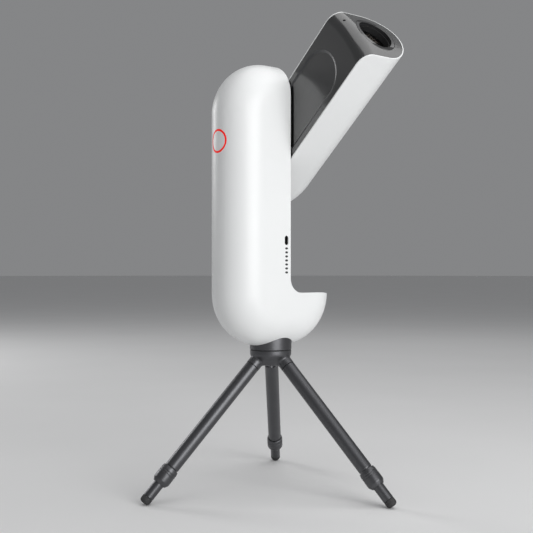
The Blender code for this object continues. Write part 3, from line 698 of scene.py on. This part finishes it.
# ---- arm ------------------------------------------------------------------------------------
class TELESCOPE_OT_arm_housing(Operator):
    """Build the arm's white shell and the dark cover over its inner side and end"""

    bl_idname = "telescope.arm_housing"
    bl_label = "Arm housing"

    def execute(self, context):
        sizes, optics = housing(), lens_sizes()
        start = sizes.arm_clearance
        reach = sizes.shelf_radius - sizes.arm_clearance
        fillet = sizes.shelf_fillet - FILLET_GAP
        shell = combined(rounded_slab(sizes, 0.0), "INTERSECT", swept_space(start, reach, fillet))
        shell = combined(shell, "DIFFERENCE", rounded_slab(sizes, sizes.wall))
        soften(shell, sizes.edge_rounding, 3)
        piece("arm_housing", shell, "arm", white_plastic(), ["arm_shell"],
              ARM_PLACE)

        wall = sizes.arm_cover_wall
        cover = combined(
            swept_space(start, reach, fillet), "DIFFERENCE",
            swept_space(start + wall, reach - wall, fillet - wall, 140 * MM),
        )
        cover = combined(cover, "INTERSECT", rounded_slab(sizes, sizes.wall + sizes.cover_gap))
        axis = Vector((optics.axis_across, 0, 0))
        cover = combined(
            cover, "DIFFERENCE",
            moved(disc_rod(optics.ring_radius + RING_CLEARANCE, BEYOND_LENS_END, -190 * MM), axis),
            along_x(disc_rod(ARM_SHAFT_RADIUS, -5 * MM, 12 * MM)),
            self.long_recess(sizes, start),
            moved(disc_rod(SENSING_RADIUS, BEYOND_LENS_END, -206.5 * MM, 32), SENSING_PLACE),
        )
        soften(cover, 0.35 * MM)
        self.mark_slope(cover, sizes)
        made = piece("arm_cover", cover, "arm", dark_plastic(),
                     ["arm_inner_cover"], ARM_PLACE, RECESS_ANGLE)
        # The second slot is the painted highlight on the recess's sloping sides.
        made.data.materials.append(painted_highlight_slope())
        return {"FINISHED"}

    @staticmethod
    def mark_slope(cover, sizes):
        """Give the recess's sloping sides, which lean 14 to 37 degrees, the second finish, whose lighter grey is a
        painted highlight.
        """
        half, middle = sizes.recess_half_width + 1 * MM, -sizes.recess_length / 2
        for face in cover.faces:
            centre = face.calc_center_median()
            near = abs(centre.y) < half and abs(centre.z - middle) < half - middle
            if near and 0.8 < -face.normal.x < 0.97 and centre.x < 4 * MM:
                face.material_index = 1

    @staticmethod
    def long_recess(sizes, start):
        """The recess's tool: a round-ended slot whose sides slope from the surface down."""
        above = 0.3 * MM
        run = sizes.recess_slope * (sizes.recess_depth + above) / sizes.recess_depth
        half = sizes.recess_half_width + sizes.recess_slope * above / sizes.recess_depth
        tool = slot_prism(half, -sizes.recess_length, 0.0, start - above,
                          start + sizes.recess_depth, "X")
        bottom = [v for v in tool.verts if v.co.x > start]
        centre = Vector((0, 0, -sizes.recess_length / 2))
        shrink = (1, 1 - run / half, 1 - run / (half + sizes.recess_length / 2))
        bmesh.ops.scale(tool, vec=shrink, verts=bottom, space=Matrix.Translation(-centre))
        return tool


class TELESCOPE_OT_lens(Operator):
    """Build the ring round the lens, the front lens and the blackened barrel"""

    bl_idname = "telescope.lens"
    bl_label = "Lens, ring and barrel"

    def execute(self, context):
        sizes, optics = housing(), lens_sizes()
        axis = Matrix.Translation((optics.axis_across, 0, 0))
        place = ARM_PLACE @ axis
        reach = sizes.shelf_radius - sizes.arm_clearance
        base = -optics.lens_reach - 1.3 * MM
        blank_end = -225 * MM       # the ring is then cut off flush with the arm's round end
        ring = turned([
            (optics.clear_radius, base), (optics.clear_radius, -optics.seat_reach),
            (optics.mouth_radius, -optics.seat_reach), (optics.mouth_radius, blank_end),
            (optics.ring_radius, blank_end), (optics.ring_radius, base),
        ], 128)
        bmesh.ops.transform(ring, matrix=axis, verts=ring.verts)
        ring = combined(ring, "INTERSECT", swept_space(-10 * MM, reach, 5 * MM))
        soften(ring, 0.5 * MM, 3)
        self.blacken(ring, optics)
        bezel = piece("lens_bezel", ring, "arm", dark_plastic(), ["lens_ring"],
                      ARM_PLACE)
        bezel.data.materials.append(black_paint())

        piece("front_lens", self.dome(optics), "arm", coated_glass(),
              ["objective_lens_1"], place)
        piece("blackened_barrel", self.barrel(), "arm", black_paint(),
              ["lens_barrel"], place)
        return {"FINISHED"}

    @staticmethod
    def blacken(ring, optics):
        """Give the faces inside the mouth, below its rim, the second finish."""
        for face in ring.faces:
            middle = face.calc_center_median() - Vector((optics.axis_across, 0, 0))
            inside = math.hypot(middle.x, middle.y) < optics.mouth_radius + 0.01 * MM
            if inside and middle.z > -optics.seat_reach - 4 * MM:
                face.material_index = 1

    @staticmethod
    def dome(optics):
        """The front lens: two domed faces and a straight edge."""
        steps = 14
        far, near = optics.lens_reach, optics.lens_reach - 4 * MM
        radius, bulge = optics.lens_radius, optics.lens_bulge

        def sag(share):
            return bulge * (1 - share ** 2)

        shares = [i / steps for i in range(steps + 1)]
        front = [(radius * s, -far - sag(s)) for s in shares]
        back = [(radius * s, -near + 0.5 * sag(s)) for s in reversed(shares)]
        return turned(front + back)

    @staticmethod
    def barrel():
        """The stepped barrel, its profile in millimetres, with fine ridges inside that stop stray
        light. The two places nearest the altitude axis stay plain."""
        bore, ridge, mouth = 26.8, 25.9, -200.0
        outer = [(29.6, mouth), (29.6, -140.0), (24.0, -134.0), (24.0, -45.0), (20.3, -45.0),
                 (20.3, -138.0), (bore, -142.0)]
        ridges = []
        for index in range(9):
            start = -146.0 - index * 4.0
            ridges += [(bore, start), (ridge if index > 1 else bore, start - 1.2)]
        profile = [*outer, *ridges, (bore, mouth)]
        return turned([(radius * MM, height * MM) for radius, height in profile])


# ---- neck and tripod ------------------------------------------------------------------------
def stand_centre():
    """The upright axis, at ground level."""
    x, y, _ = JOINTS["azimuth"]["pos_m"]
    return Vector((x, y, 0))


class TELESCOPE_OT_base_neck(Operator):
    """Build the dark neck that the body turns on"""

    bl_idname = "telescope.base_neck"
    bl_label = "Base neck"

    def execute(self, context):
        radius, stub = tripod().neck_radius, 18 * MM
        bottom, top = NECK_LOW.z, NECK_HIGH.z
        shoulder, hole_end = bottom + 23.5 * MM, bottom + 19.5 * MM
        neck = turned([
            (SCREW_RADIUS, bottom), (radius - 0.4 * MM, bottom), (radius, bottom + 0.4 * MM),
            (radius, shoulder), (stub, shoulder), (stub, top), (0, top), (0, hole_end),
            (SCREW_RADIUS, hole_end),
        ], 128)
        soften(neck, 0.3 * MM)
        place = Matrix.Translation(stand_centre())
        piece("turning_neck", neck, "tripod", anodised_metal(), ["base_neck"],
              place)
        low, high = (corner.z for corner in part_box("crown_top_pad"))
        inner, outer = 6.5 * MM, radius - 0.9 * MM
        pad = turned([(inner, low), (outer, low), (outer, high), (inner, high)], 128)
        piece("crown_pad", pad, "tripod", soft_rubber(), ["crown_top_pad"], place)
        return {"FINISHED"}


def leg_place(number):
    """A leg's own frame: origin at its seam, +Z down the leg."""
    seam = Vector(JOINTS[f"collar_{number}_twist"]["pos_m"])
    direction = Vector(JOINTS[f"leg_{number}_slide"]["axis"])
    return Matrix.Translation(seam) @ direction.to_track_quat("Z", "Y").to_matrix().to_4x4()


class TELESCOPE_OT_tripod_crown(Operator):
    """Build the cast crown: a round plate that flows into three leg sockets"""

    bl_idname = "telescope.tripod_crown"
    bl_label = "Tripod crown"

    def execute(self, context):
        centre, top, radius = stand_centre(), CROWN_TOP, 29.8 * MM
        bottom, above = top - 22 * MM, top + 8 * MM
        plate = turned([
            (0, bottom), (16 * MM, bottom), (radius - 3 * MM, top - 12 * MM),
            (radius, top - 7 * MM), (radius, above), (0, above),
        ])
        moved(plate, centre)
        sockets = [
            self.on_leg(disc_rod(tripod().tube_radius + 0.35 * MM, -20 * MM, 6 * MM, 64), number)
            for number in LEG_NUMBERS
        ]
        crown = self.cast(combined(plate, "UNION", *sockets))
        cuts = [
            moved(disc_rod(SCREW_RADIUS, 150 * MM, 250 * MM, 48), centre),
            cuboid((-100 * MM, -100 * MM, top), (200 * MM, 200 * MM, top + 20 * MM)),
        ]
        for number in LEG_NUMBERS:
            bore = disc_rod(SPIGOT_RADIUS + GAP, -SPIGOT_LENGTH - GAP, 3 * MM, 48)
            beyond_seam = cuboid((-20 * MM, -20 * MM, -GAP), (20 * MM, 20 * MM, 20 * MM))
            cuts += [self.on_leg(bore, number), self.on_leg(beyond_seam, number)]
        crown = combined(crown, "DIFFERENCE", *cuts)
        piece("cast_crown", crown, "tripod", anodised_metal(),
              ["tripod_crown"])
        return {"FINISHED"}

    @staticmethod
    def on_leg(bm, number):
        """The shape, moved from a leg's own frame to its place."""
        bmesh.ops.transform(bm, matrix=leg_place(number), verts=bm.verts)
        return bm

    @staticmethod
    def cast(bm):
        """The joined solid with its inner corners filled smoothly, as in a casting."""
        obj = loose_object("cast", bm)
        remesh = obj.modifiers.new("remesh", "REMESH")
        remesh.mode = "VOXEL"
        remesh.voxel_size = 0.9 * MM
        smooth = obj.modifiers.new("smooth", "SMOOTH")
        smooth.factor = 0.5
        smooth.iterations = 22
        bpy.context.view_layer.update()
        return settled(obj)


class TELESCOPE_OT_tripod_legs(Operator):
    """Build each leg's upper tube, lock collar, sliding tube and rubber tip"""

    bl_idname = "telescope.tripod_legs"
    bl_label = "Tripod legs"

    def execute(self, context):
        sizes = tripod()
        for number in LEG_NUMBERS:
            place = leg_place(number)
            piece(f"upper_tube_{number}", self.upper_tube(sizes), "tripod", anodised_metal(),
                  [f"leg_tube_{number}"], place)
            piece(f"twist_collar_{number}", self.collar(sizes), f"collar_{number}",
                  anodised_metal(), [f"lock_collar_{number}"], place)
            piece(f"sliding_tube_{number}", self.lower_tube(sizes), f"lower_leg_{number}",
                  anodised_metal(), [f"lower_leg_{number}"], place)
            piece(f"foot_tip_{number}", self.foot(sizes, place), f"lower_leg_{number}",
                  soft_rubber(), [f"rubber_foot_{number}"])
        return {"FINISHED"}

    @staticmethod
    def upper_tube(sizes):
        """Tube with a spigot for the crown, chamfered where the collar begins, bored from below."""
        radius, start = sizes.tube_radius, sizes.collar_start
        seat, end, bore_top = 9 * MM, sizes.collar_end - 12 * MM, 12 * MM
        tube = turned([
            (0, -SPIGOT_LENGTH), (SPIGOT_RADIUS, -SPIGOT_LENGTH), (SPIGOT_RADIUS, 0),
            (radius - 0.5 * MM, 0), (radius, 0.6 * MM), (radius, start - 1.2 * MM),
            (radius - 0.8 * MM, start), (seat, start + 0.5 * MM), (seat, end),
            (BORE_RADIUS, end), (BORE_RADIUS, bore_top), (0, bore_top),
        ], 72)
        soften(tube, 0.2 * MM)
        return tube

    @staticmethod
    def collar(sizes):
        """Ringed collar: a narrow shoulder, two grooves and a tapered end."""
        outer, start = sizes.collar_radius, sizes.collar_start + 0.8 * MM
        end, seat = sizes.collar_end, 9.3 * MM
        ledge = end - 11.7 * MM
        grooves = []
        for groove in (6.0, 9.2):
            at = start + groove * MM
            grooves += [(outer, at), (outer - 0.5 * MM, at + 0.4 * MM),
                        (outer - 0.5 * MM, at + 1.0 * MM), (outer, at + 1.4 * MM)]
        collar = turned([
            (seat, start), (outer - 1.6 * MM, start), (outer - 0.9 * MM, start + 0.6 * MM),
            (outer, start + 4.5 * MM), *grooves,
            (outer, end - 5.5 * MM), (outer - 0.6 * MM, end - 4.0 * MM),
            (outer - 3.0 * MM, end), (BORE_RADIUS, end), (BORE_RADIUS, ledge), (seat, ledge),
        ], 72)
        soften(collar, 0.2 * MM)
        return collar

    @staticmethod
    def lower_tube(sizes):
        radius, start, end = sizes.lower_radius, 62 * MM, sizes.lower_end
        return turned([
            (0, start), (radius - 0.4 * MM, start), (radius, start + 0.4 * MM),
            (radius, end - 0.3 * MM), (radius - 0.3 * MM, end), (0, end),
        ], 64)

    @staticmethod
    def foot(sizes, place):
        """Rubber tip with a rounded rim, cut level where it stands on the ground."""
        start, end = sizes.lower_end + GAP, sizes.leg_end
        outer, rim = sizes.lower_radius, 4.6 * MM
        profile = [(0, start), (outer - 0.3 * MM, start), (outer, start + 0.3 * MM)]
        for step in range(9):
            angle = math.radians(90 * step / 8)
            profile.append((outer - rim + rim * math.cos(angle), end - rim + rim * math.sin(angle)))
        foot = turned([*profile, (0, end)], 64)
        bmesh.ops.transform(foot, matrix=place, verts=foot.verts)
        flat = bmesh.ops.bisect_plane(foot, geom=foot.verts[:] + foot.edges[:] + foot.faces[:],
                                      plane_co=(0, 0, 0), plane_no=(0, 0, 1), clear_inner=True)
        cut = [e for e in flat["geom_cut"] if isinstance(e, bmesh.types.BMEdge)]
        bmesh.ops.holes_fill(foot, edges=cut, sides=0)
        bmesh.ops.recalc_face_normals(foot, faces=foot.faces)
        return foot


# ---- what is inside -------------------------------------------------------------------------
class TELESCOPE_OT_inner_works(Operator):
    """Give the parts inside the body and the tripod screw their finishes"""

    bl_idname = "telescope.inner_works"
    bl_label = "Inner works"

    def execute(self, context):
        finishes = {
            "aluminium": machined_aluminium,
            "steel": ground_steel,
            "brass": machined_brass,
            "glass": coated_glass,
            "circuit_board": green_board,
            "battery_wrap": battery_wrap,
            "black_plastic": black_paint,
            "rubber": soft_rubber,
            "graphite_metal": anodised_metal,
            "dark_cover": dark_plastic,
            "white_gloss": white_plastic,
            "red_light": lit_ring,
        }
        for entry in frame["record"]["subparts"]:
            node = frame["nodes"][entry["node"]]
            node.data.materials.clear()
            node.data.materials.append(finishes[entry["material_slot"]]())
        # The tripod screw is as dark as the crown that it stands in
        screw = frame["nodes"]["tripod_screw"].data.materials
        screw.clear()
        screw.append(anodised_metal())
        return {"FINISHED"}


# ---- studio ---------------------------------------------------------------------------------
class TELESCOPE_OT_studio(Operator):
    """Lay the floor, set the lamps and place the camera"""

    bl_idname = "telescope.studio"
    bl_label = "Studio"

    def execute(self, context):
        self.floor()
        self.world()
        self.softbox("key_lamp", (-0.15, -2.4, 0.75), target=(0, 0, 0.42), size=1.8, power=46)
        self.softbox("top_lamp", (0.25, -0.4, 1.9), target=(0.05, -0.15, 0.55), size=1.9, power=14)
        self.bulb("rim_lamp", (-0.6, 2.5, 1.1), radius=0.45, power=52)
        self.bulb("back_lamp", (2.0, 1.3, 1.3), radius=0.7, power=9)
        context.scene.view_settings.view_transform = "Standard"
        self.camera()
        return {"FINISHED"}

    @staticmethod
    def floor():
        bm = bmesh.new()
        bmesh.ops.create_circle(bm, cap_ends=True, segments=96, radius=FLOOR_RADIUS)
        obj = loose_object("studio_floor", bm)
        base = tuple(colours().floor)
        material, shader = new_material("pale_floor_paint", base, 0.9)
        shader.inputs["Specular IOR Level"].default_value = 0.1
        vary_colour(material, shader, noise(material, 3.0, 2.0), base, 0.01)
        vary_roughness(material, shader, noise(material, 40.0), 0.85, 0.95)
        obj.data.materials.append(material)

    @staticmethod
    def world():
        world = bpy.data.worlds.new("pale_studio")
        world.use_nodes = True
        background = world.node_tree.nodes["Background"]
        background.inputs["Color"].default_value = (0.9, 0.91, 0.93, 1.0)
        background.inputs["Strength"].default_value = 0.26
        bpy.context.scene.world = world

    @staticmethod
    def softbox(name, place, target, size, power):
        """A square lamp turned towards a target."""
        data = bpy.data.lights.new(name, "AREA")
        data.shape = "SQUARE"
        data.size = size
        data.energy = power
        lamp = bpy.data.objects.new(name, data)
        bpy.context.scene.collection.objects.link(lamp)
        lamp.location = place
        aim = Vector(target) - Vector(place)
        lamp.rotation_euler = aim.to_track_quat("-Z", "Y").to_euler()

    @staticmethod
    def bulb(name, place, radius, power):
        """A soft round lamp behind the object, hidden from the camera."""
        data = bpy.data.lights.new(name, "POINT")
        data.shadow_soft_size = radius
        data.energy = power
        lamp = bpy.data.objects.new(name, data)
        bpy.context.scene.collection.objects.link(lamp)
        lamp.location = place
        lamp.visible_camera = False

    @staticmethod
    def camera():
        """A level camera, CAMERA_DISTANCE from the stand's upright axis."""
        forward = Vector((math.sin(CAMERA_TURN), math.cos(CAMERA_TURN), 0))
        right = Vector((math.cos(CAMERA_TURN), -math.sin(CAMERA_TURN), 0))
        data = bpy.data.cameras.new("camera")
        data.lens = CAMERA_LENS
        data.sensor_width = 36.0
        data.clip_start = 0.05
        camera = bpy.data.objects.new("camera", data)
        bpy.context.scene.collection.objects.link(camera)
        camera.location = (stand_centre() - CAMERA_DISTANCE * forward - CAMERA_SHIFT * right
                           + Vector((0, 0, CAMERA_HEIGHT)))
        camera.rotation_euler = forward.to_track_quat("-Z", "Y").to_euler()
        bpy.context.scene.camera = camera


class TELESCOPE_PT_panel(Panel):
    """Lists the telescope's pieces in the order they are made"""

    bl_idname = "TELESCOPE_PT_panel"
    bl_label = "Smart telescope"
    bl_space_type = "VIEW_3D"
    bl_region_type = "UI"
    bl_category = "Telescope"

    def draw(self, context):
        for operator in OPERATORS:
            self.layout.operator(operator.bl_idname)


GROUPS = {
    "telescope_housing": TelescopeHousingSizes,
    "telescope_lens": TelescopeLensSizes,
    "telescope_tripod": TelescopeTripodSizes,
    "telescope_colours": TelescopeColours,
}
OPERATORS = (
    TELESCOPE_OT_inner_works,
    TELESCOPE_OT_pillar_housing,
    TELESCOPE_OT_power_button,
    TELESCOPE_OT_charging_port,
    TELESCOPE_OT_arm_housing,
    TELESCOPE_OT_lens,
    TELESCOPE_OT_base_neck,
    TELESCOPE_OT_tripod_crown,
    TELESCOPE_OT_tripod_legs,
    TELESCOPE_OT_studio,
)
CLASSES = (*GROUPS.values(), *OPERATORS, TELESCOPE_PT_panel)


def register():
    for cls in CLASSES:
        bpy.utils.register_class(cls)
    for name, group in GROUPS.items():
        setattr(bpy.types.Scene, name, PointerProperty(type=group))


def unregister():
    for name in GROUPS:
        delattr(bpy.types.Scene, name)
    for cls in reversed(CLASSES):
        bpy.utils.unregister_class(cls)


def main():
    register()
    for operator in OPERATORS:
        category, name = operator.bl_idname.split(".")
        getattr(getattr(bpy.ops, category), name)()
    bpy.context.view_layer.update()


if __name__ == "__main__":
    main()
